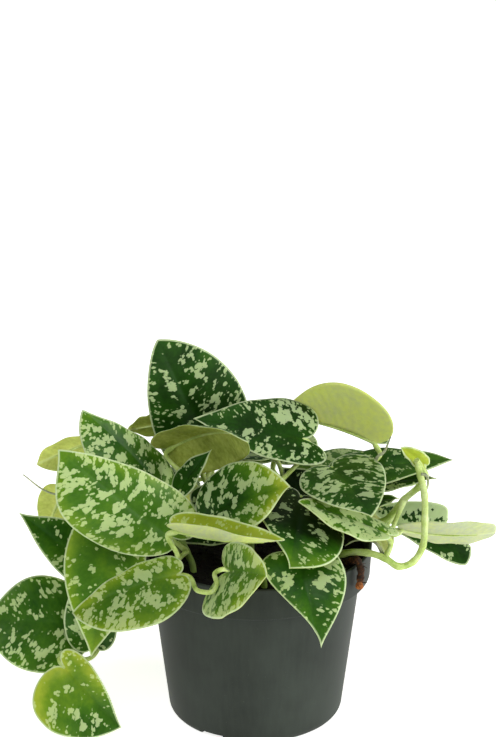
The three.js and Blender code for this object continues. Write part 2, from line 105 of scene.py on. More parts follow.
def noise(tree, place, size, detail=2.0, roughness=0.5):
    """Cloudy noise with blotches of about size mm."""
    return add(tree, "ShaderNodeTexNoise",
               {"Vector": place, "Scale": 1 / (size * MM), "Detail": detail, "Roughness": roughness})


def ramp(tree, value, *stops):
    """Colours along a value: the two outer stops come first, then those between."""
    return add(tree, "ShaderNodeValToRGB", [value], stops)


def mixed(tree, amount, below, above):
    return add(tree, "ShaderNodeMix", [amount, below, above], data_type="RGBA")


def bumped(tree, height, depth, strength):
    """A shading normal, as if the skin rose by depth."""
    return add(tree, "ShaderNodeBump", {"Strength": strength, "Distance": depth, "Height": height})


def looks(colour, rough, bump):
    return {"Base Color": colour, "Roughness": rough, "Normal": bump}


def own_place(tree):
    return add(tree, "ShaderNodeTexCoord").outputs["Object"]


def finish_of(name, build, **constants):
    """A material. build(tree) returns the shader's linked inputs by name, constants are the plain ones."""
    material = bpy.data.materials.new(name)
    material.use_nodes = True
    tree = material.node_tree
    tree.nodes.clear()
    fixed = {key.replace("_", " "): value for key, value in constants.items()}
    surface = add(tree, "ShaderNodeBsdfPrincipled", {**fixed, **build(tree)})
    add(tree, "ShaderNodeOutputMaterial", {"Surface": surface})
    return material


def in_scene(name, data):
    made = bpy.data.objects.new(name, data)
    bpy.context.scene.collection.objects.link(made)
    return made


def mesh_object(name, points, faces=(), edges=(), **values):
    """A mesh in metres from points in millimetres, with one float for each point under each other name."""
    mesh = bpy.data.meshes.new(name)
    mesh.from_pydata((np.asarray(points, float) * MM).tolist(), edges, faces)
    for key, numbers in values.items():
        mesh.attributes.new(key, "FLOAT", "POINT").data.foreach_set("value", np.asarray(numbers, np.float32))
    return in_scene(name, mesh)


def chain(start, stop):
    """Edges from each point to the next."""
    return [(k, k + 1) for k in range(start, stop - 1)]


def settle(made, slot, *nodes):
    """Fixes a finished piece to the plant's one body in place of its CAD nodes."""
    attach(made, "root")
    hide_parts(*nodes)


def grow(name, source, tree, values):
    """Runs a geometry tree on the source object and keeps the result as a plain mesh."""
    modifier = source.modifiers.new("grow", "NODES")
    modifier.node_group = tree
    sockets = {item.name: item.identifier for item in tree.interface.items_tree if item.in_out == "INPUT"}
    for key, value in values.items():
        modifier[sockets[key]] = value
    source.update_tag()
    evaluated = source.evaluated_get(bpy.context.evaluated_depsgraph_get())
    mesh = bpy.data.meshes.new_from_object(evaluated)
    bpy.data.objects.remove(source)
    print(name, len(mesh.polygons), "faces")
    return in_scene(name, mesh)


def tree_with(name, **sockets):
    """A geometry tree with the named inputs, and what its input node gives."""
    tree = bpy.data.node_groups.new(name, "GeometryNodeTree")
    tree.interface.new_socket("Geometry", in_out="INPUT", socket_type="NodeSocketGeometry")
    tree.interface.new_socket("Geometry", in_out="OUTPUT", socket_type="NodeSocketGeometry")
    for key, kind in sockets.items():
        tree.interface.new_socket(key.replace("_", " "), in_out="INPUT", socket_type="NodeSocket" + kind)
    return tree, add(tree, "NodeGroupInput").outputs


def form(tree, kind, inputs=(), **settings):
    return add(tree, "GeometryNode" + kind, inputs, **settings)


def ended(tree, shape, finish):
    """Ends a geometry tree in one smooth mesh with one finish."""
    shape = form(tree, "RealizeInstances", {"Geometry": shape})
    shape = form(tree, "SetShadeSmooth", {"Geometry": shape, "Shade Smooth": True})
    shape = form(tree, "SetMaterial", {"Geometry": shape, "Material": finish})
    add(tree, "NodeGroupOutput", [shape])
    return tree


# %% [markdown]
# ## Camera, light and floor
# A small plant looks best from a little above, through a long lens, on a seamless pale table. The table glows
# a little, so it stays white and lights the leaves from below. A large soft light stands in front, a low one
# at the right draws the pot's side, and a weak one hangs above.

# %% Camera, light and floor
LENS = 117.2  # on a 36 mm sensor
CAMERA_PLACE = (-0.0039, -1.1269, 0.6076)
LOOKS_DOWN = 20.4  # degrees
LIT_POINT = (0, 0, 0.1)  # the plant's middle
TABLE_SIDE = 16.0

camera_data = bpy.data.cameras.new("camera")
camera_data.lens = LENS
camera_data.sensor_width = 36
camera_data.clip_end = 60
camera = in_scene("camera", camera_data)
camera.location = CAMERA_PLACE
camera.rotation_euler = (math.radians(90 - LOOKS_DOWN), 0, 0)
bpy.context.scene.camera = camera
bpy.context.scene.view_settings.view_transform = "Standard"


def soft_light(name, place, size, power):
    """A square area light that faces the plant's middle."""
    data = bpy.data.lights.new(name, "AREA")
    data.shape = "SQUARE"
    data.size = size
    data.energy = power
    made = in_scene(name, data)
    made.location = place
    aim = np.array(LIT_POINT) - np.array(place)
    azimuth = math.atan2(aim[1], aim[0]) - math.pi / 2
    made.rotation_euler = (math.acos(-aim[2] / np.linalg.norm(aim)), 0, azimuth)


soft_light("front light", (-0.35, -1.6, 1.8), 1.2, 26)
soft_light("side light", (1.8, -0.3, 0.5), 0.9, 28)
soft_light("top light", (0.1, 0.3, 2.2), 1.4, 7)

world = bpy.data.worlds.new("studio")
world.use_nodes = True
bpy.context.scene.world = world
sky = world.node_tree.nodes["Background"].inputs
sky["Color"].default_value = linear("#f4f8ff")
sky["Strength"].default_value = 0.2


def pale_table(tree):
    grain = add(tree, "ShaderNodeTexNoise", {"Scale": 3.0, "Detail": 2.0})
    shade = ramp(tree, grain, (0.3, "#f4f4f2"), (0.7, "#fbfbfa"))
    return {"Base Color": shade, "Emission Color": shade}


half_table = TABLE_SIDE / 2 / MM
corners = [(x * half_table, y * half_table, 0) for x, y in ((-1, -1), (1, -1), (1, 1), (-1, 1))]
floor = mesh_object("table", corners, [(0, 1, 2, 3)])
glowing = finish_of("glowing white table", pale_table, Roughness=0.9, Emission_Strength=0.9)
floor.data.materials.append(glowing)

# %% [markdown]
# ## The leaves as rows
# Each row says which vine carries the leaf, the stem point that its petiole leaves, the base and tip of the
# blade, the way the upper side faces and the full width, in millimetres. Then come the tone, from an old,
# dark leaf at 0 to a young, lime one at 1; a tone below 0 is painted shade on a leaf that lies in deep shade.
# Then comes the share that is silver. What differs from a plain leaf follows by name. via lists points that
# the petiole passes, and lean makes one half wider. widest is where the blade is widest, lobes is how far its
# lobes reach back, and blunt rounds the flanks: each is one number, or one for the right half and one for the
# left. arch bends the midrib, fold and curl lift or drop each half, in degrees. tip_tone is the tone at the
# tip, and pale is the underside from deep olive at 0 to cream at 1, which is partly its own paler colour and
# partly painted light shining through the blade.

# %% Leaf rows
PLAIN = dict(lean=0.06, widest=0.25, lobes=1, blunt=0, arch=18, fold=10, curl=-20, pale=0.45, via=(),
             young=False)
LEAVES = {}


def row(name, vine, node, base, tip, faces, width, tone, silver, **more):
    """Adds a row. What differs from a plain leaf follows by name."""
    each = dict(vine="vine_" + vine, node=node, base=base, tip=tip, faces=faces, width=width, tone=tone,
                silver=silver)
    LEAVES["leaf_" + name] = {**PLAIN, **each, **more}


row("crown", "crown", 2, (-22, 34, 129), (-50, 22, 196), (0.1, -0.9, 0.3), 52, 0.13, 0.45, lean=-0.08,
    widest=(0.35, 0.25), blunt=(0.85, 0.7))
row("left_upper", "left_front", 2, (-50, -10, 129), (-86, -20, 174), (0.68, -0.5, 0.5), 41, 0.34, 0.75,
    lean=0.18, widest=(0.03, 0.5), lobes=(0.8, 1), blunt=(0, 1.3))
row("left_front", "left_front", 1, (-42, -38, 113), (-96, -52, 166), (0.4, -0.88, 0.2), 47, 0.45, 0.72,
    lean=0.12, widest=(0.12, 0.55), lobes=(0.9, 1), blunt=(0.4, 0.5), curl=-30)
row("arching", "crown", 1, (-42, 19, 139), (-4, -30, 161), (0.3, 0.8, 0.45), 40, 0.2, 0.5,
    via=[(-33, 12, 122)], lean=0, blunt=1, arch=54, fold=-20, pale=0.4)
row("folded", "left_front", 2, (-38, -14, 128), (-22, -8, 148), (-0.7, -0.5, 0.4), 17, 0.15, 0.4, fold=15)
row("top", "centre", 2, (25, 16, 144), (-32, 11, 157), (0.31, -0.48, 0.82), 42, 0.12, 0.55, lean=-0.12,
    widest=(0.08, 0.25), lobes=(0.75, 1.5), blunt=(0, 0.2))
row("right_upper", "top", 1, (62, 34, 135), (9, 40, 148), (0.1, 0.5, 0.85), 49, 0.2, 0.5,
    via=[(46, 4, 113), (61, 15, 131)], lean=0.25, widest=0.42, lobes=1.3, blunt=-0.1,
    arch=20, fold=48, pale=0.72)
row("centre", "centre", 1, (-26, -22, 117), (17, -39, 141), (-0.5, -0.56, 0.66), 42, 0.12, 0.7, lean=-0.02,
    widest=(0.5, 0.4), lobes=(0.5, 1), blunt=(0.3, 0.6), arch=26, fold=22, tip_tone=0.65)
row("rolled", "left_front", 1, (-38, -52, 123), (14, -65, 124), (0, -0.15, 0.99), 22, 0.85, 0.4,
    via=[(-39, -42, 103), (-39, -48, 109)], blunt=(0, 0.6), arch=-26, fold=40, curl=50, young=True, pale=0.85)
row("shaded", "centre", 0, (-12, -6, 103), (-39, -12, 98), (-0.2, -0.6, 0.75), 20, 0.05, 0.3, lean=-0.25)
row("front", "front", 1, (-13, -73, 111), (5, -108, 125), (-0.84, -0.33, 0.42), 39.5, 0.45, 1, lean=-0.27,
    lobes=(2.8, 2), blunt=1.2, fold=22, tip_tone=0.6, pale=0.6)
row("front_left", "front", 1, (-38, -62, 104), (-90, -68, 86), (-0.21, -0.49, 0.85), 39, 0.55, 0.9,
    via=[(-10, -58, 103), (-15, -60, 106), (-20, -68, 107.5), (-19, -79, 106.5), (-21, -82, 104.5),
         (-28, -77, 102.5)], lean=0.29, widest=(0.15, 0.35), lobes=(0.6, 1), blunt=(0.3, 0.9))
row("hanging", "left", 2, (-72, -27, 114), (-83, -45, 50), (0.1, -0.95, 0.2), 41, 0.5, 0.3, lean=-0.05)
row("left_outer", "left", 4, (-82, -12, 80), (-120, -12, 115), (0.3, -0.85, 0.45), 26, 0.25, 0.4, lean=-0.12,
    widest=(0.35, 0.25), blunt=(0, 0.2))
row("left_low", "left", 5, (-87, -20, 54), (-139, -30, 64), (-0.1, -0.85, 0.5), 50, 0.3, 0.45, lean=0,
    widest=0.42, lobes=0.9, blunt=(0.3, 0.7))
row("left_behind", "left", 5, (-82.5, -31, 51), (-85, -24, 92), (0.05, -0.95, 0.3), 27, 0.2, 0.45,
    via=[(-78, -14, 60)], blunt=0.4)
row("lowest", "left", 5, (-97, -43, 43.5), (-68, -52, 14), (-0.3, -0.85, 0.4), 40, 0.66, 0.35,
    via=[(-78, -18, 52), (-84, -34, 44)], lean=-0.37, widest=(0.3, 0.15), blunt=(0.7, 0.1), fold=20,
    tip_tone=0.25)
row("left_turned", "left", 2, (-80, 2, 149), (-112, 6, 134), (0.2, 0.8, 0.5), 23, 0.3, 0.5, lean=-0.3,
    widest=(0.45, 0.5), blunt=(1.2, 0.6), pale=0.55)
row("left_small", "left", 3, (-99, 0, 121), (-109, 6, 94), (0.3, 0.8, 0.5), 22, 0.3, 0.5, lean=-0.05,
    blunt=0.5, pale=0.5)
row("crown_turned", "crown", 2, (-45, 40, 143), (-67, 40, 139), (0, 0.8, 0.6), 24, 0.3, 0.5, lean=-0.1,
    blunt=0.6)
row("right", "top", 1, (39, 5, 133), (57, -42, 126), (0.03, -0.11, 0.99), 49, 0.2, 0.75, lean=0,
    widest=(0.38, 0.08), lobes=(0.8, 1.1), blunt=(0.4, 0.5))
row("right_front", "right", 3, (66, -25, 109), (21, -35, 131), (0.45, -0.02, 0.9), 34, 0.4, 1.4, lean=0.22,
    widest=(0.1, 0.45), lobes=(1, 0.6), blunt=(1.2, 0.9), arch=10)
# over_rim: a tone of -0.3, below any old leaf's, is painted shade, deepest at the base under the leaves
# above; tip_tone lifts it towards the tip.
row("over_rim", "right", 0, (23, -10, 123), (16, -70, 111), (0.2, -0.5, 0.84), 46, -0.3, 0.2, lean=0.07,
    widest=(0.3, 0.5), lobes=(1, 0.7), blunt=(-0.3, 1), tip_tone=0.4)
row("right_under", "top", 2, (61, 27, 113), (95, 30, 116), (0.1, -0.2, 0.97), 16, 0.15, 0.5)
row("front_right", "front", 1, (20, -48, 108), (32, -72, 69), (0.05, -0.88, 0.46), 39, 0.25, 0.45,
    via=[(14, -38, 100)], lean=0.07, widest=(0.05, 0.28), lobes=(0.5, 1), blunt=(-0.9, 0), arch=50)
row("right_back", "top", 2, (46, 24, 121), (104, 36, 124), (0.1, -0.15, 0.98), 34, 0.28, 0.25, blunt=0.2,
    arch=12)
row("shoot", "right", 10, (87, 12, 131), (74, 9, 142), (0.2, -0.8, 0.55), 10, 0.9, 0.15, via=[(88, 8, 127)],
    blunt=0.8, arch=40, fold=25, young=True, pale=0.8)
row("right_turned", "right_back", 1, (66, 31, 98), (102, 37, 89), (0.38, -0.86, 0.08), 16, 0.1, 1.9,
    widest=(0.4, 0.7), blunt=(1.5, 1), pale=0.65)
row("right_outer", "right_back", 3, (76, 5, 98), (124, 6, 96), (-0.15, 0.72, 0.68), 29, 0.3, 0.5, lean=-0.1,
    widest=0.55, blunt=1.5, arch=-18, pale=0.92)
row("right_low", "right_back", 3, (74, 25, 89), (113, 22, 74), (0.3, -0.6, 0.74), 16, 0.12, 0.45, widest=0.7,
    lobes=0.6, blunt=1.2)
row("right_inner", "right_back", 1, (55, 14, 108), (75, 20, 109), (0.2, 0, 0.98), 17, 0.12, 0.4)
row("inner", "crown", 0, (-22, 8, 106), (-14, 10, 124), (-0.1, -0.95, 0.2), 28, 0.06, 0.35)
row("back_left", "back_left", 1, (-50, 54, 104), (-90, 84, 96), (-0.2, 0.2, 0.95), 44, 0.3, 0.55)
row("back_centre", "back_left", 2, (-24, 66, 108), (-30, 112, 96), (0, 0.4, 0.9), 46, 0.2, 0.6)
row("back_right", "back_right", 1, (36, 56, 108), (70, 94, 104), (0.2, 0.3, 0.92), 46, 0.4, 0.5)
row("back_upper", "back_right", 1, (10, 54, 117), (14, 104, 122), (0, -0.1, 1), 48, 0.25, 0.65)
row("back_low_left", "back_left", 2, (-46, 72, 90), (-62, 88, 44), (-0.4, 0.8, 0.3), 42, 0.35, 0.5)
row("back_low_right", "back_right", 2, (22, 72, 92), (28, 84, 34), (0.1, 0.95, 0.2), 46, 0.2, 0.45)
row("side_right", "back_right", 1, (54, 50, 94), (72, 70, 52), (0.7, 0.6, 0.4), 38, 0.45, 0.6)
row("back_inner", "back_right", 0, (8, 46, 123), (-22, 58, 120), (0, 0.1, 0.98), 33, 0.15, 0.5)
row("side_left", "back_left", 0, (-62, 20, 110), (-100, 38, 124), (0.3, 0.1, 0.95), 40, 0.3, 0.6)
row("back_under_left", "back_left", 0, (-34, 32, 112), (-60, 44, 119), (-0.15, 0.35, 0.9), 30, 0.3, 0.5)
row("back_under_centre", "back_left", 1, (-8, 44, 99), (8, 34, 103), (-0.1, 0.25, 0.96), 28, 0.2, 0.45)
# back_under_right: a tone of -0.15, below any old leaf's, is painted shade from the leaves above it.
row("back_under_right", "back_right", 0, (31, 30, 104), (14, 35, 120.5), (0.1, -0.85, 0.5), 24, -0.15, 0.15)

# %% [markdown]
# ## Blades
# A blade is a heart with a deep notch, an uneven pair of lobes and a drawn-out tip, leathery and under a
# millimetre thick. The midrib lies in a groove, the side veins leave low quilting, and the margin waves a
# little. So each blade is a closed sheet over a heart outline of two Bezier curves, bent along its midrib and
# folded across it, with the relief added along its normals.

# %% Blade shape
LOBE_SHARE = 0.45  # of a half's margin that belongs to its lobe
LOBE_ROWS = 30
FLANK_ROWS = 38
HALF_COLUMNS = 14
SHEET = 0.62  # thickness away from the margin
RIM = 0.3  # and at the margin
GROOVE = 0.3
QUILT = 0.2
VEIN_SPACING = 4.6
SWAY = 0.45  # how far the margin waves
THIN_MARGIN = 1.6  # width in which the sheet thins to its rim
GROOVE_WIDTH = 1.3
CREASE = 1.2  # half the width of the soft crease along the midrib
ROW_EASING = 1.6  # above 1, rows lie closer together near the notch
VEIN_LEAN = 0.42  # how far a side vein runs forwards on its way to the rim
VEIN_CURVE = 0.009


def bezier(points, t):
    """Points along a cubic Bezier curve."""
    a, b, c, d = np.asarray(points, float)
    t = t[:, None]
    return (1 - t) ** 3 * a + 3 * (1 - t) ** 2 * t * b + 3 * (1 - t) * t ** 2 * c + t ** 3 * d


def unit(v):
    return v / np.linalg.norm(v, axis=-1, keepdims=True)


def smooth(x, start, end):
    """0 before start, 1 after end, eased between."""
    t = np.clip((x - start) / (end - start), 0, 1)
    return t * t * (3 - 2 * t)


def half_margin(leaf, side):
    """One half's margin from the notch to the tip, as shares of the blade's length and half width."""
    half = int(side > 0)
    widest, lobe, blunt = (np.broadcast_to(leaf[key], 2)[half] for key in ("widest", "lobes", "blunt"))
    round_lobe = [(0, 0), (-0.2 * lobe, 0.1), (widest - 0.39 * lobe, 1), (widest, 1)]
    flank = [(widest, 1), (widest + 0.33, 1), (0.8 + 0.14 * blunt, 0.24 + 0.36 * blunt), (1, 0)]
    return np.vstack([bezier(round_lobe, np.linspace(0, 1, LOBE_ROWS + 1)),
                      bezier(flank, np.linspace(0, 1, FLANK_ROWS + 1))[1:]])


def half_width(leaf, side):
    return leaf["width"] / 2 * (1 + side * leaf["lean"])


def midrib(leaf):
    """The blade's own axes and the length and bend of its midrib."""
    base = np.array(leaf["base"], float)
    chord = np.array(leaf["tip"], float) - base
    along = unit(chord)
    up = np.array(leaf["faces"], float)
    up = unit(up - along * up.dot(along))
    bend = math.radians(leaf["arch"])
    length = np.linalg.norm(chord) * bend / (2 * math.sin(bend / 2))
    return base, along, up, bend, length


def surface(leaf, x, y):
    """Middle of the sheet, in mm, x along the midrib and y across it, and the sheet's normal there."""
    base, along, up, bend, length = midrib(leaf)
    x, y = np.broadcast_arrays(np.asarray(x, float), np.asarray(y, float))
    side = np.where(y < 0, -1.0, 1.0)
    theta = (bend * (x / length - 0.5))[..., None]
    radius = length / bend
    ahead = radius * (np.sin(theta) + math.sin(bend / 2))
    above = radius * (np.cos(theta) - math.cos(bend / 2))
    point = base + along * ahead + up * above
    tangent = along * np.cos(theta) - up * np.sin(theta)
    normal = up * np.cos(theta) + along * np.sin(theta)
    across = np.cross(normal, tangent) * side[..., None]
    fold = math.radians(leaf["fold"])
    curve = np.radians(leaf["curl"]) / half_width(leaf, side)
    slope = (fold + curve * np.abs(y))[..., None]
    curve = curve[..., None]
    point = point + across * (np.sin(slope) - math.sin(fold)) / curve
    point = point + normal * (math.cos(fold) - np.cos(slope)) / curve
    slope = slope * smooth(np.abs(y), 0, CREASE)[..., None]
    return point, unit(normal * np.cos(slope) - across * np.sin(slope))


def flat_grid(leaf):
    """The blade laid flat, in mm: x and signed y of each row and column, and the midrib's length."""
    lobe_rows = np.linspace(0, LOBE_SHARE, LOBE_ROWS + 1)
    flank_rows = np.linspace(LOBE_SHARE, 1, FLANK_ROWS + 1)
    start = (np.hstack([lobe_rows, flank_rows[1:]]) ** ROW_EASING)[:, None]
    columns = np.linspace(1, 0, HALF_COLUMNS + 1)[:-1], np.linspace(0, 1, HALF_COLUMNS + 1)
    length = midrib(leaf)[4]
    x, y = [], []
    for side, q in zip((-1, 1), columns):
        edge = half_margin(leaf, side)
        x.append((start * (1 - q) + edge[:, :1] * q) * length)
        y.append(side * q * edge[:, 1:] * half_width(leaf, side))
    return np.hstack(x), np.hstack(y), length


def vein_place(x, y, length):
    """Where along the midrib the side vein through a point starts. Veins sweep forwards on their way out."""
    across = np.abs(y)
    sweep = -0.3 + 1.3 * smooth(x / length, -0.25, 0.5)
    return x - (VEIN_LEAN * across + VEIN_CURVE * across ** 2) * sweep


def pads(x, y, length):
    """0 on each side vein and 1 halfway between two of them. The veins of the two halves take turns."""
    phase = vein_place(x, y, length) / VEIN_SPACING + 0.5 * (y > 0) + 0.15 * np.sin(np.abs(y) / 3.1)
    return np.abs(np.sin(math.pi * phase))


def relief(leaf, x, y, length, to_rim, draw):
    """Height over the plain sheet: the midrib's groove, quilting between the veins, and the margin's sway."""
    across = np.abs(y)
    groove = -GROOVE * np.exp(-(across / GROOVE_WIDTH) ** 2) * (1 - smooth(x / length, 0.75, 1))
    quilt = QUILT * (pads(x, y, length) ** 0.7 - 0.6) * smooth(across, 0.8, 4) * smooth(to_rim, 0.3, 3.5)
    waves, shift = draw.uniform(1.6, 3.2, 2), draw.uniform(0, 2 * math.pi, 2)
    right = (y > 0).astype(int)
    sway = SWAY * np.sin(2 * math.pi * waves[right] * x / length + shift[right])
    return groove + quilt + sway * (across / (across + to_rim + 0.01)) ** 3 * smooth(x / length, -0.2, 0.3)


def rim_distance(x, y):
    """Distance of each flat grid point from the blade's margin."""
    rim = np.vstack([np.column_stack([x[:, k], y[:, k]]) for k in (0, -1)])
    points = np.stack([x, y], -1)
    return np.sqrt(((points[:, :, None] - rim) ** 2).sum(-1)).min(-1)


def blade(name, leaf, draw):
    """One closed blade: two skins on one grid, whose first and last rows are the notch and the tip."""
    x, y, length = flat_grid(leaf)
    to_rim = rim_distance(x, y)
    point, normal = surface(leaf, x, y)
    lift = relief(leaf, x, y, length, to_rim, draw)
    skin = RIM + (SHEET - RIM) * smooth(to_rim, 0, THIN_MARGIN)
    rows, columns = x.shape
    kept = np.ones(x.shape, bool)
    kept[[0, -1]] = np.arange(columns) == HALF_COLUMNS
    upper = np.cumsum(kept).reshape(x.shape) - 1
    upper[[0, -1]] = upper[[0, -1], HALF_COLUMNS][:, None]
    lower = upper + kept.sum()
    points = np.vstack([(point + normal * (lift + side * skin)[..., None])[kept] for side in (0.5, -0.5)])
    faces = []

    def quad(a, b, c, d):
        corners = list(dict.fromkeys([a, b, c, d]))
        if len(corners) > 2:
            faces.append(corners)

    for i in range(rows - 1):
        for j in range(columns - 1):
            quad(upper[i, j], upper[i + 1, j], upper[i + 1, j + 1], upper[i, j + 1])
            quad(lower[i, j], lower[i, j + 1], lower[i + 1, j + 1], lower[i + 1, j])
        quad(upper[i, 0], lower[i, 0], lower[i + 1, 0], upper[i + 1, 0])
        quad(upper[i, -1], upper[i + 1, -1], lower[i + 1, -1], lower[i, -1])
    drawn = (x + vein_place(x, y, length)) / 2
    both = (np.tile(v[kept], 2) for v in (to_rim * MM, x / length, y * MM, drawn * MM, pads(x, y, length)))
    to_rim, reach, across, drawn, pad = both
    tone, tip_tone = leaf["tone"], leaf.get("tip_tone", leaf["tone"])
    same = {"seed": draw.uniform(0, 10), "silver": leaf["silver"], "pale": leaf["pale"]}
    made = mesh_object(name, points, faces, under=np.repeat([0, 1], kept.sum()), to_rim=to_rim, pad=pad,
                       across=np.abs(across), tone=tone + (tip_tone - tone) * smooth(reach, 0.2, 0.9),
                       **{key: np.full(len(points), value) for key, value in same.items()})
    corner_points = np.zeros(len(made.data.loops), int)
    made.data.loops.foreach_get("vertex_index", corner_points)
    veins = np.column_stack([drawn, across])[corner_points]
    made.data.uv_layers.new(name="veins").data.foreach_set("uv", veins.astype(np.float32).ravel())
    made.data.shade_smooth()
    return made


# %% [markdown]
# ## The satin finish
# The silver marks are patches where air lies under the skin: ragged islands along the side veins, with a dark
# band along the midrib and a thin green line on each side vein. A broad noise says where the islands lie and
# rounded cells break their shores, both stretched along the veins and pushed about by a finer noise. Cutting
# that sum at a level gives the marks, and the level follows the place on the blade. The skin is waxy with a
# soft sheen, and its thin rim is pale.

# %% Satin leaf
ISLAND = 5.0  # size of the silver islands
DOT = 1.8  # of the cells that break their shores
RAGGED = 1.8  # of the noise that pushes both about
DARK_STREAK = 1.6  # of the streaks between the veins
PORE = 0.5


def leaf_value(tree, name):
    return add(tree, "ShaderNodeAttribute", attribute_name=name).outputs["Fac"]


def silver_marks(tree):
    """1 on a silver patch and 0 off it, with the two places that the patterns are read at."""
    flat = add(tree, "ShaderNodeSeparateXYZ", [add(tree, "ShaderNodeUVMap", uv_map="veins")]).outputs
    place = add(tree, "ShaderNodeCombineXYZ", [flat["X"], flat["Y"], leaf_value(tree, "seed")])
    ragged = noise(tree, place, RAGGED)
    pushed = vector(tree, "MULTIPLY_ADD", ragged.outputs["Color"], (1.8 * MM, 1.6 * MM, 0), place)
    drawn = vector(tree, "MULTIPLY", pushed, (1.0, 0.72, 1.0))
    island = noise(tree, drawn, ISLAND)
    dots = add(tree, "ShaderNodeTexVoronoi", {"Vector": drawn, "Scale": 1 / (DOT * MM), "Randomness": 1.0})
    near_rim = eased(tree, leaf_value(tree, "to_rim"), 1.0 * MM, 5.0 * MM, 0.8, 0.0)
    cover = add(tree, "ShaderNodeMix", [near_rim, island, 0.52], data_type="FLOAT")
    cover = calc(tree, "MULTIPLY", cover, 1.4)
    dot_size = calc(tree, "MULTIPLY", dots.outputs["Color"], 0.16)
    cover = calc(tree, "ADD", cover, dot_size)
    cover = scaled(tree, dots.outputs["Distance"], -0.4, cover)
    plain_band = eased(tree, leaf_value(tree, "across"), 1.0 * MM, 4.5 * MM, 0.2, 0.0)
    vein = spread(tree, leaf_value(tree, "pad"), 0.0, 0.4, 0.13, 0.0)
    level = scaled(tree, leaf_value(tree, "silver"), -0.2, 0.74)
    level = calc(tree, "ADD", level, plain_band)
    level = calc(tree, "ADD", level, vein)
    over = calc(tree, "SUBTRACT", cover, level)
    marks = eased(tree, over, -0.03, 0.04, 0.0, 1.0)
    return marks, place, drawn


def satin_leaf(tree):
    marks, place, drawn = silver_marks(tree)
    across = leaf_value(tree, "across")
    to_rim = leaf_value(tree, "to_rim")
    cloud = noise(tree, place, 14)
    streak = noise(tree, drawn, DARK_STREAK)
    tone = scaled(tree, cloud, 0.45, leaf_value(tree, "tone"))
    tone = scaled(tree, streak, 0.2, tone)
    rim_tone = spread(tree, to_rim, 0.0, 8 * MM, 0.55, 0.0)
    tone = scaled(tree, leaf_value(tree, "tone"), rim_tone, tone)
    tone = calc(tree, "SUBTRACT", tone, 0.325)
    green = ramp(tree, tone, (0.0, "#0b2103"), (1.0, "#9cac30"), (0.25, "#204908"), (0.5, "#406a12"),
                 (0.75, "#688a18"))
    silver = ramp(tree, tone, (0.0, "#9aae7e"), (1.0, "#b8c874"), (0.5, "#a3b878"))
    upper = mixed(tree, marks, green, silver)
    pale_rim = eased(tree, to_rim, 0.4 * MM, 1.1 * MM, 0.8, 0.0)
    upper = mixed(tree, pale_rim, upper, linear("#c3d3a2"))
    # The underside: partly its own paler olive, partly painted light shining through the blade, the more so
    # as pale rises.
    low = scaled(tree, streak, 0.25, leaf_value(tree, "pale"))
    low = scaled(tree, cloud, 0.3, low)
    low = calc(tree, "SUBTRACT", low, 0.275)
    lower = ramp(tree, low, (0.0, "#4b5c1c"), (1.0, "#acb698"), (0.33, "#818f36"), (0.66, "#d8e276"))
    rib = eased(tree, across, 0.5 * MM, 1.3 * MM, 0.4, 0.0)
    lower = mixed(tree, rib, lower, linear("#d2dca0"))
    turned = spread(tree, leaf_value(tree, "under"), 0.35, 0.65, 0.0, 1.0)
    colour = mixed(tree, turned, upper, lower)
    sheen = scaled(tree, marks, 0.1, 0.4)
    sheen = scaled(tree, turned, 0.12, sheen)
    pores = noise(tree, place, PORE)
    grain = scaled(tree, marks, 0.5, pores)
    return looks(colour, sheen, bumped(tree, grain, 0.08 * MM, 0.35))


WAXY = {"IOR": 1.45, "Specular_IOR_Level": 0.16}
SATIN = finish_of("satin pothos blade", satin_leaf, **WAXY, Subsurface_Weight=0.12,
                  Subsurface_Radius=(0.5, 1.0, 0.25), Subsurface_Scale=1.0 * MM)
YOUNG = finish_of("young pothos blade", satin_leaf, **WAXY, Subsurface_Weight=0.25,
                  Subsurface_Radius=(0.6, 1.0, 0.2), Subsurface_Scale=1.5 * MM)

# %% Leaves
for number, (node, leaf) in enumerate(LEAVES.items()):
    made = blade(node.replace("leaf_", "") + "_blade", leaf, np.random.default_rng(40 + number))
    made.data.materials.append(YOUNG if leaf["young"] else SATIN)
    settle(made, "young_leaf" if leaf["young"] else "leaf", node)
print(len(LEAVES), "blades")

# %% [markdown]
# ## Vines
# Each rooted vine is one grown body: a fleshy, pale green stem with a swollen ring at every joint, and the
# petioles, which run on under their blades as midribs. Thin dry sheaths stay at some joints. All are tubes of
# changing thickness along a smooth route, so one geometry tree sweeps them, with a slightly uneven skin.

# %% Vine routes
STEM_OUT = 89  # where a stem leaves the compost
ROOTED_TO = 70
VINES = {
    "vine_crown": [(-20, 18, STEM_OUT), (-22, 24, 101), (-26, 36, 112)],
    "vine_left_front": [(-32, -20, STEM_OUT), (-35, -22, 98), (-40, -20, 110)],
    "vine_left": [(-41, 2, STEM_OUT), (-48, 0, 100), (-60, -3, 103), (-69, -4, 99), (-72, 2, 86),
        (-76, 0, 68)],
    "vine_centre": [(-2, -14, STEM_OUT), (-2, -10, 102), (6, -2, 120)],
    "vine_front": [(4, -40, STEM_OUT), (2, -43, 96)],
    "vine_top": [(20, 18, STEM_OUT), (28, 18, 106), (38, 24, 116)],
    "vine_right": [(36, -22, STEM_OUT), (44, -27, 99), (56, -28, 100), (65, -28, 97), (72, -27, 92),
        (80, -21, 92), (85, -15, 98), (86, -10, 110), (86, -4, 121), (84, 1, 130), (82, 4, 137)],
    "vine_right_back": [(40, 10, STEM_OUT), (52, 15, 99), (66, 15, 98), (77, 14, 111), (84, 9, 120),
        (87, 7, 124)],
    "vine_back_left": [(-24, 34, STEM_OUT), (-33, 48, 101), (-38, 60, 101)],
    "vine_back_right": [(18, 36, STEM_OUT), (20, 50, 102), (18, 60, 102)],
}

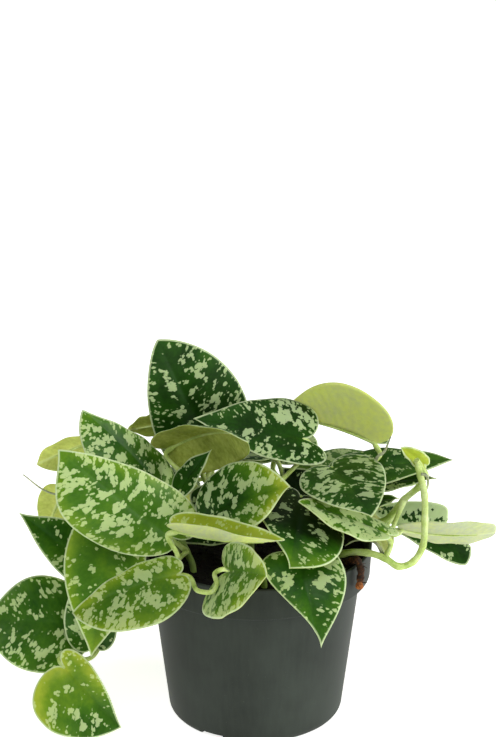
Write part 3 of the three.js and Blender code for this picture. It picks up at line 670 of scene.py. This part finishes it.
SHEATHS = [
    ("vine_top", [(61, 15, 131), (63, 14, 135), (66, 13, 138), (68, 11, 144), (69, 9, 148)]),
    ("vine_left", [(-68, -2, 120), (-84, -6, 124), (-98, -6, 122), (-107, -7, 125), (-118, -5, 133)]),
    ("vine_right", [(84, 0, 131), (87, 1, 130), (88, 0, 126), (86, -4, 121)]),
    ("vine_right", [(65, -26, 96), (60, -24, 104), (50, -22, 104), (45, -24, 102)]),
]
STEM_RADIUS = 1.7
PETIOLE_RADIUS = 1.2
SHEATH_RADIUS = 1.0
STEP = 0.9  # between rings of a tube
ROUTE_STEPS = 24
TUBE_SIDES = 14
JOINT_RING = (0.25, 1.6)  # extra radius of the ring at a joint, and its reach
CLASPING_FOOT = (0.5, 5)  # the same for a petiole's foot
KNEE = (0.3, 2.2)  # and for the knee that lies
KNEE_BEFORE_END = 3  # this far before its end
BEHIND_NOTCH = 5  # a petiole comes from this far behind the notch
BELOW_BLADE = 4  # and below it
UNDER_NOTCH = 0.7  # and ends this far under the blade
RIB_RUN = (0.03, 0.8)  # where the midrib stands out, as shares of the blade
RIB_POINTS = 26


def route_through(points):
    """A centripetal Catmull-Rom curve through the points, in even steps."""
    p = np.asarray(points, float)
    p = np.vstack([2 * p[0] - p[1], p, 2 * p[-1] - p[-2]])
    pieces = []
    for a, b, c, d in zip(p, p[1:], p[2:], p[3:]):
        gaps = [max(np.linalg.norm(v) ** 0.5, 1e-3) for v in (b - a, c - b, d - c)]
        leave = ((b - a) / gaps[0] - (c - a) / (gaps[0] + gaps[1]) + (c - b) / gaps[1]) * gaps[1]
        enter = ((c - b) / gaps[1] - (d - b) / (gaps[1] + gaps[2]) + (d - c) / gaps[2]) * gaps[1]
        t = np.linspace(0, 1, ROUTE_STEPS, endpoint=False)[:, None]
        pieces.append((2 * t ** 3 - 3 * t ** 2 + 1) * b + (t ** 3 - 2 * t ** 2 + t) * leave
                      + (3 * t ** 2 - 2 * t ** 3) * c + (t ** 3 - t ** 2) * enter)
    line = np.vstack([*pieces, p[-2:-1]])
    length = np.hstack([0, np.cumsum(np.linalg.norm(np.diff(line, axis=0), axis=1))])
    even = np.linspace(0, length[-1], max(4, round(length[-1] / STEP)))
    return np.column_stack([np.interp(even, length, line[:, k]) for k in range(3)]), even


def swelling(distance, rise, reach):
    """The extra radius at a distance from the middle of a soft swelling."""
    return rise * np.exp(-(distance / reach) ** 2)


def stem_strand(route):
    """A stem from deep in the compost to its last joint: points, radii, dryness and painted low shade."""
    line, along = route_through([(*route[0][:2], ROOTED_TO), *route])
    radius = np.full(len(line), STEM_RADIUS)
    for joint in route[1:]:
        radius += swelling(np.linalg.norm(line - joint, axis=1), *JOINT_RING)
    radius *= 1 - 0.65 * smooth(along, along[-1] - 3, along[-1])
    # The last value is painted shade: 1 near the compost, fading out from 25 to 60 mm along the stem.
    return line, radius, np.zeros(len(line)), 1 - smooth(along, 25, 60)


def petiole_strand(leaf):
    """A petiole from its joint to the blade's notch, and on under the blade as the midrib."""
    joint = VINES[leaf["vine"]][leaf["node"]]
    length = midrib(leaf)[4]
    (base, ahead), (above, _) = surface(leaf, [0, 0.08 * length], 0)
    aim = unit(ahead - base)
    bend = base - BEHIND_NOTCH * aim - BELOW_BLADE * above
    line, along = route_through([joint, *leaf["via"], bend, base - UNDER_NOTCH * above])
    clasp = swelling(along, *CLASPING_FOOT)
    knee = swelling(along - along[-1] + KNEE_BEFORE_END, *KNEE)
    radius = PETIOLE_RADIUS + clasp + knee - 0.15 * smooth(along, along[-1] - 1.5, along[-1])
    share = np.linspace(*RIB_RUN, RIB_POINTS)
    under, normal = surface(leaf, share * length, 0)
    rib_radius = 0.6 * (1 - share) + 0.1
    line = np.vstack([line, under - normal * (GROOVE + SHEET / 2 + 0.35 * rib_radius)[:, None]])
    return line, np.hstack([radius, rib_radius]), np.zeros(len(line)), np.zeros(len(line))


def sheath_strand(route):
    line, along = route_through(route)
    return line, SHEATH_RADIUS * (1 - 0.7 * along / along[-1]), np.ones(len(line)), np.zeros(len(line))


def strands_mesh(name, strands):
    """Loose edges along each strand, with its radius, dryness and painted low shade at each point."""
    lines, radii, dryness, low_shade_values = zip(*strands)
    ends = np.cumsum([0] + [len(line) for line in lines])
    edges = [edge for start, stop in zip(ends, ends[1:]) for edge in chain(start, stop)]
    return mesh_object(name, np.vstack(lines), edges=edges, thick=np.hstack(radii) * MM,
                       dry=np.hstack(dryness), old=np.hstack(low_shade_values))


# %% A tree that sweeps strands
def unit_circle(tree, sides):
    return form(tree, "CurvePrimitiveCircle", {"Resolution": sides, "Radius": 1.0}, mode="RADIUS")


def sweep_tree():
    """Turns loose edges into closed tubes with the radius thick and an uneven skin."""
    tree, given = tree_with("swept strands", Sides="Int", Bump_height="Float", Bump_size="Float",
                            Seed="Float", Finish="Material")
    curve = form(tree, "MeshToCurve", {"Mesh": given["Geometry"]})
    thick = form(tree, "InputNamedAttribute", {"Name": "thick"}, data_type="FLOAT")
    curve = form(tree, "SetCurveRadius", {"Curve": curve, "Radius": thick})
    ring = unit_circle(tree, given["Sides"])
    radius = form(tree, "InputRadius")
    tube = form(tree, "CurveToMesh",
                {"Curve": curve, "Profile Curve": ring, "Scale": radius, "Fill Caps": True})
    often = calc(tree, "DIVIDE", 1.0, given["Bump size"])
    uneven = add(tree, "ShaderNodeTexNoise", {"W": given["Seed"], "Scale": often, "Detail": 2.0},
                 noise_dimensions="4D")
    rise = calc(tree, "SUBTRACT", uneven, 0.5)
    rise = calc(tree, "MULTIPLY", rise, given["Bump height"])
    outward = form(tree, "InputNormal")
    offset = vector(tree, "SCALE", outward, rise)
    tube = form(tree, "SetPosition", {"Geometry": tube, "Offset": offset})
    return ended(tree, tube, given["Finish"])


SWEEP = sweep_tree()

# %% [markdown]
# ### Stem finish
# Fleshy yellow green stems, mottled in small specks, with a waxy, slightly moist sheen. Near the compost they
# are darker: painted shade from the pot's rim and the leaves above. Where a sheath has dried it is papery,
# grey green and dull.

# %% Stems
def fleshy_stem(tree):
    place = own_place(tree)
    cloud = noise(tree, place, 9, detail=3.0)
    speck = noise(tree, place, 0.8)
    shade = scaled(tree, speck, 0.35, cloud)
    green = ramp(tree, shade, (0.45, "#86a045"), (0.9, "#cad998"), (0.66, "#b0c46e"))
    paper = ramp(tree, shade, (0.45, "#5d6a48"), (0.9, "#b3b795"))
    # Painted shade: the stem darkens towards #56702a near the compost, where the rim and the leaves shade it.
    old = calc(tree, "MULTIPLY", leaf_value(tree, "old"), 0.75)
    green = mixed(tree, old, green, linear("#56702a"))
    colour = mixed(tree, leaf_value(tree, "dry"), green, paper)
    return looks(colour, spread(tree, speck, 0.3, 0.7, 0.4, 0.55), bumped(tree, speck, 0.1 * MM, 0.3))


STEM = finish_of("fleshy stem", fleshy_stem, IOR=1.42, Specular_IOR_Level=0.3, Subsurface_Weight=0.3,
                 Subsurface_Radius=(0.8, 1.0, 0.3), Subsurface_Scale=1.5 * MM)

for number, (node, route) in enumerate(VINES.items()):
    strands = [stem_strand(route)]
    strands += [petiole_strand(leaf) for leaf in LEAVES.values() if leaf["vine"] == node]
    strands += [sheath_strand(points) for vine, points in SHEATHS if vine == node]
    source = strands_mesh(node, strands)
    made = grow(node.replace("vine_", "") + "_stems", source, SWEEP,
                {"Sides": TUBE_SIDES, "Bump height": 0.08 * MM, "Bump size": 3.0 * MM, "Seed": float(number),
                 "Finish": STEM})
    settle(made, "stem", node)

# %% [markdown]
# ## Pot
# A moulded polypropylene nursery pot: a thin tapered wall, a rounded foot with drain notches, and a stepped
# collar with a soft lip. A geometry tree turns its profile round the axis and cuts the notches by rule. The
# plastic is dark green grey and dull, with faint water marks and a little dust.

# %% Pot
COLLAR_HEIGHT = 17.1
COLLAR_INSET = 1  # collar, shoulder and base lie this far inside the rim
SHOULDER_INSET = 5.7
BASE_INSET = 14.6
FOOT_RADIUS = 5
WALL = 1.8
FLOOR = 2.4
THICKER_BELOW = 1  # extra wall at the floor
LEDGE_FALL = 1  # the inner ledge slopes down by this much
NOTCH_DEPTH, NOTCH_WIDTH, NOTCH_HEIGHT = 11, 14, 3.4
NOTCHES = 3
FIRST_NOTCH = -121  # degrees
POT_SIDES = 160

pot_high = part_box("pot")[1]
RIM_RADIUS = pot_high.x / MM
RIM_TOP = pot_high.z / MM
COLLAR_BOTTOM = RIM_TOP - COLLAR_HEIGHT
COLLAR_RADIUS = RIM_RADIUS - COLLAR_INSET
SHOULDER_RADIUS = RIM_RADIUS - SHOULDER_INSET
BASE_RADIUS = RIM_RADIUS - BASE_INSET
LEDGE = COLLAR_BOTTOM + WALL


def inner_radius(z):
    share = (z - FLOOR) / (COLLAR_BOTTOM - FLOOR)
    return BASE_RADIUS - WALL - THICKER_BELOW + share * (SHOULDER_RADIUS - BASE_RADIUS + THICKER_BELOW)


def rounded(corner, before, after, radius, steps=5):
    """A soft corner: a curve from just before it to just after it."""
    corner, before, after = (np.array(p, float) for p in (corner, before, after))
    start = corner + unit(before - corner) * radius
    end = corner + unit(after - corner) * radius
    t = np.linspace(0, 1, steps)[:, None]
    return (1 - t) ** 2 * start + 2 * t * (1 - t) * corner + t ** 2 * end


def pot_profile():
    """Half of the pot's section, from the axis under the floor round to the axis on top of it."""
    lean = math.atan2(SHOULDER_RADIUS - BASE_RADIUS, COLLAR_BOTTOM - FOOT_RADIUS)
    angles = np.linspace(0, math.pi / 2 - lean, 9)
    foot = np.column_stack([BASE_RADIUS - FOOT_RADIUS * (1 - np.sin(angles)),
                            FOOT_RADIUS * (1 - np.cos(angles))])
    corners = [foot[-1], (SHOULDER_RADIUS, COLLAR_BOTTOM), (COLLAR_RADIUS, COLLAR_BOTTOM),
               (RIM_RADIUS, RIM_TOP), (RIM_RADIUS - WALL, RIM_TOP), (COLLAR_RADIUS - WALL, LEDGE),
               (inner_radius(COLLAR_BOTTOM), LEDGE - LEDGE_FALL), (inner_radius(FLOOR), FLOOR), (0, FLOOR)]
    radii = [0.5, 0.9, 0.85, 0.7, 0.8, 0.8, 1.5]
    line = [np.array([[0, 0], [BASE_RADIUS * 0.5, 0]]), foot]
    line += [rounded(corners[k], corners[k - 1], corners[k + 1], radii[k - 1]) for k in range(1, 8)]
    line += [np.array([[BASE_RADIUS * 0.4, FLOOR], [0, FLOOR]])]
    return np.vstack(line)


def turned_tree():
    """Turns a profile of loose edges round the upright axis and cuts the notches."""
    tree, given = tree_with("turned pot", Sides="Int", Notches="Int", Notch_size="Vector",
                            Notch_radius="Float", First_notch="Float", Finish="Material")
    profile = form(tree, "MeshToCurve", {"Mesh": given["Geometry"]})
    upright = form(tree, "Transform",
                   {"Geometry": profile, "Translation": (-1, 0, 0), "Rotation": (math.radians(90), 0, 0)})
    circle = unit_circle(tree, given["Sides"])
    turned = form(tree, "CurveToMesh", {"Curve": circle, "Profile Curve": upright})
    closed = form(tree, "MergeByDistance", {"Geometry": turned, "Distance": 0.01 * MM})
    cutter = form(tree, "MeshCube", {"Size": given["Notch size"]})
    spots = form(tree, "MeshCircle", {"Vertices": given["Notches"], "Radius": given["Notch radius"]})
    centred = form(tree, "InputPosition")
    outward = add(tree, "FunctionNodeAlignRotationToVector", {"Vector": centred}, axis="X")
    cutters = form(tree, "InstanceOnPoints", {"Points": spots, "Instance": cutter, "Rotation": outward})
    turn = add(tree, "ShaderNodeCombineXYZ", [0.0, 0.0, given["First notch"]])
    cutters = form(tree, "Transform", {"Geometry": cutters, "Rotation": turn})
    cutters = form(tree, "RealizeInstances", {"Geometry": cutters})
    cut = form(tree, "MeshBoolean", {"Mesh 1": closed, "Mesh 2": cutters}, operation="DIFFERENCE")
    return ended(tree, cut, given["Finish"])


def moulded_plastic(tree):
    place = own_place(tree)
    tall = vector(tree, "MULTIPLY", place, (1, 1, 0.12))
    cloud = noise(tree, place, 35, detail=3.0)
    runs = noise(tree, tall, 2.5, detail=3.0, roughness=0.6)
    dust = noise(tree, place, 1.1, detail=3.0, roughness=0.7)
    shade = scaled(tree, runs, 0.3, cloud)
    plastic = ramp(tree, shade, (0.45, "#272c27"), (0.85, "#363c36"))
    specks = eased(tree, dust, 0.66, 0.74, 0.0, 0.3)
    colour = mixed(tree, specks, plastic, linear("#565b54"))
    return looks(colour, spread(tree, shade, 0.45, 0.85, 0.5, 0.62), bumped(tree, dust, 0.06 * MM, 0.25))


PLASTIC = finish_of("dark moulded polypropylene", moulded_plastic, IOR=1.49, Specular_IOR_Level=0.12)
points = [(r, 0, z) for r, z in pot_profile()]
source = mesh_object("profile", points, edges=chain(0, len(points)))
pot = grow("nursery_pot", source, turned_tree(), {
    "Sides": POT_SIDES, "Notches": NOTCHES,
    "Notch size": [2 * NOTCH_DEPTH * MM, NOTCH_WIDTH * MM, 2 * NOTCH_HEIGHT * MM],
    "Notch radius": (BASE_RADIUS + 1) * MM, "First notch": math.radians(FIRST_NOTCH), "Finish": PLASTIC})
shape = bmesh.new()
shape.from_mesh(pot.data)
print("pot volume, cm3:", round(shape.calc_volume(signed=True) * 1e6, 1), "open edges:",
      sum(len(e.link_faces) != 2 for e in shape.edges))
shape.free()
pot.data.set_sharp_from_angle(angle=math.radians(35))
settle(pot, "pot", "pot")

# %% [markdown]
# ## Compost
# Dark peat compost fills the pot to just under the rim: a lumpy surface with crumbs lying on it. The surface
# is a disc with a height rule, and a geometry tree scatters the crumbs by a seeded draw.

# %% Compost
SOIL_TOP = 85.5
GAP = 0.3  # between the compost and the pot
SECTORS = 120
TOP_RINGS = 44
INNERMOST = 1.2  # radius of the last ring


def soil_height(x, y):
    """Top of the compost, in mm: long lumps, then smaller ones."""
    lump = 1.6 * np.sin(0.21 * x) * np.cos(0.17 * y) + 0.5 * np.sin(0.5 * x) * np.cos(0.33 * y)
    small = 0.45 * np.sin(1.3 * x + 0.7 * y) * np.sin(1.1 * y - 0.9 * x + 2)
    small = small + 0.25 * np.sin(2.6 * x + 1.2) * np.sin(2.9 * y)
    return SOIL_TOP + lump + small


def soil_solid():
    """The fill as one closed turned solid."""
    side = COLLAR_RADIUS - WALL - GAP
    wall = [(inner_radius(FLOOR) - GAP, FLOOR + GAP),
            (inner_radius(COLLAR_BOTTOM) - GAP, LEDGE - LEDGE_FALL + GAP), (side, LEDGE + GAP)]
    top = [(r, None) for r in np.linspace(side, INNERMOST, TOP_RINGS)]
    turn = np.linspace(0, 2 * math.pi, SECTORS, endpoint=False)
    points, faces = [], []
    for r, z in wall + top:
        x, y = r * np.cos(turn), r * np.sin(turn)
        height = soil_height(x, y) if z is None else np.full(SECTORS, z)
        points += np.column_stack([x, y, height]).tolist()
    rings = len(wall) + len(top)
    for i in range(rings - 1):
        for j in range(SECTORS):
            a, b = i * SECTORS + j, i * SECTORS + (j + 1) % SECTORS
            faces.append((a, b, b + SECTORS, a + SECTORS))
    faces.append(list(range(SECTORS))[::-1])
    faces.append([(rings - 1) * SECTORS + j for j in range(SECTORS)])
    return points, faces


def chance(tree, low, high, seed, **settings):
    return add(tree, "FunctionNodeRandomValue", {"Min": low, "Max": high, "Seed": seed}, **settings)


def scatter_tree():
    """Scatters crumbs over the upward faces and joins them to the solid."""
    tree, given = tree_with("scattered crumbs", Density="Float", Smallest="Float", Largest="Float",
                            Seed="Int", Finish="Material")
    normal = add(tree, "ShaderNodeSeparateXYZ", [form(tree, "InputNormal")])
    upward = add(tree, "FunctionNodeCompare", {"A": normal.outputs["Z"], "B": 0.5}, operation="GREATER_THAN")
    spots = form(tree, "DistributePointsOnFaces", {
        "Mesh": given["Geometry"], "Selection": upward, "Density": given["Density"], "Seed": given["Seed"]})
    crumb = form(tree, "MeshIcoSphere", {"Radius": 1.0, "Subdivisions": 2})
    dent = add(tree, "ShaderNodeTexNoise", {"Scale": 1.3, "Detail": 1.0}).outputs["Color"]
    dent = vector(tree, "SUBTRACT", dent, (0.5, 0.5, 0.5))
    crumb = form(tree, "SetPosition", {"Geometry": crumb, "Offset": dent})
    size = chance(tree, given["Smallest"], given["Largest"], given["Seed"])
    stretch = chance(tree, (0.4, 0.4, 0.4), (1.7, 1.0, 0.8), given["Seed"], data_type="FLOAT_VECTOR")
    scale = vector(tree, "SCALE", stretch, size)
    turn = chance(tree, (0, 0, 0), (0.8, 0.8, 6.28), given["Seed"], data_type="FLOAT_VECTOR")
    crumbs = form(tree, "InstanceOnPoints",
                  {"Points": spots, "Instance": crumb, "Rotation": turn, "Scale": scale})
    both = form(tree, "JoinGeometry", [given["Geometry"]])
    tree.links.new(crumbs.outputs[0], both.inputs[0])
    return ended(tree, both, given["Finish"])


def peat_with_painted_shade(tree):
    place = own_place(tree)
    clod = noise(tree, place, 2.6, detail=4.0, roughness=0.65)
    # The two darkest stops, near black, are painted shade of the pot's inside over the peat's own dark brown.
    colour = ramp(tree, clod, (0.35, "#050403"), (0.75, "#2b1e14"), (0.58, "#0e0a07"))
    return looks(colour, spread(tree, clod, 0.3, 0.7, 0.75, 0.95), bumped(tree, clod, 0.5 * MM, 0.8))


PEAT = finish_of("peat compost with painted shade", peat_with_painted_shade, IOR=1.35, Specular_IOR_Level=0.3)
points, faces = soil_solid()
soil = grow("compost", mesh_object("fill", points, faces), scatter_tree(),
            {"Density": 9.0e4, "Smallest": 0.4 * MM, "Largest": 1.3 * MM, "Seed": 7, "Finish": PEAT})
settle(soil, "soil", "soil")

# %% [markdown]
# ## Dry root
# An old aerial root hangs over the rim at the right: brown, cracked and dull, with an orange broken end and a
# few hair-thin rootlets. The same tree sweeps it, with a coarser skin.

# %% Dry root
DRY_ROOT = [(43, -22, 91), (47.5, -28, 95), (50.5, -32.4, 98.4), (52.6, -35.6, 94), (52.4, -35.4, 89),
            (52, -35, 84)]
DRY_ROOT_RADIUS = 1.8
ROOTLETS = 9
ROOTLET_RADIUS = 0.45


def root_strands(draw):
    line, along = route_through(DRY_ROOT)
    radius = DRY_ROOT_RADIUS * (1 + 0.18 * np.sin(along * 1.3) + 0.1 * np.sin(along * 3.1 + 1))
    strands = [(line, radius, smooth(along, along[-1] - 6, along[-1] - 1), np.ones(len(line)))]
    for start in draw.choice(len(line) - 8, ROOTLETS, replace=False) + 4:
        away = unit(draw.normal(size=3) * (1, 1, 0.4)) * draw.uniform(2.5, 4.5)
        points = [line[start], line[start] + away * 0.5 + draw.normal(size=3) * 0.4, line[start] + away]
        hair, reach = route_through(points)
        radius = ROOTLET_RADIUS * (1 - 0.7 * reach / reach[-1])
        strands.append((hair, radius, np.zeros(len(hair)), np.ones(len(hair))))
    return strands


def dead_root(tree):
    place = own_place(tree)
    crack = noise(tree, place, 1.2, detail=4.0, roughness=0.7)
    bark = ramp(tree, crack, (0.35, "#140c05"), (0.7, "#5a3517"), (0.52, "#2b190b"))
    core = ramp(tree, crack, (0.35, "#5e2c0f"), (0.7, "#b9743b"))
    colour = mixed(tree, leaf_value(tree, "dry"), bark, core)
    return looks(colour, spread(tree, crack, 0.3, 0.7, 0.7, 0.92), bumped(tree, crack, 0.3 * MM, 0.8))


BARK = finish_of("dry root bark", dead_root, IOR=1.4, Specular_IOR_Level=0.3)
source = strands_mesh("root", root_strands(np.random.default_rng(11)))
root = grow("dead_root", source, SWEEP, {
    "Sides": TUBE_SIDES, "Bump height": 1.0 * MM, "Bump size": 1.6 * MM, "Seed": 3.0, "Finish": BARK})
settle(root, "dry_root", "dry_root")
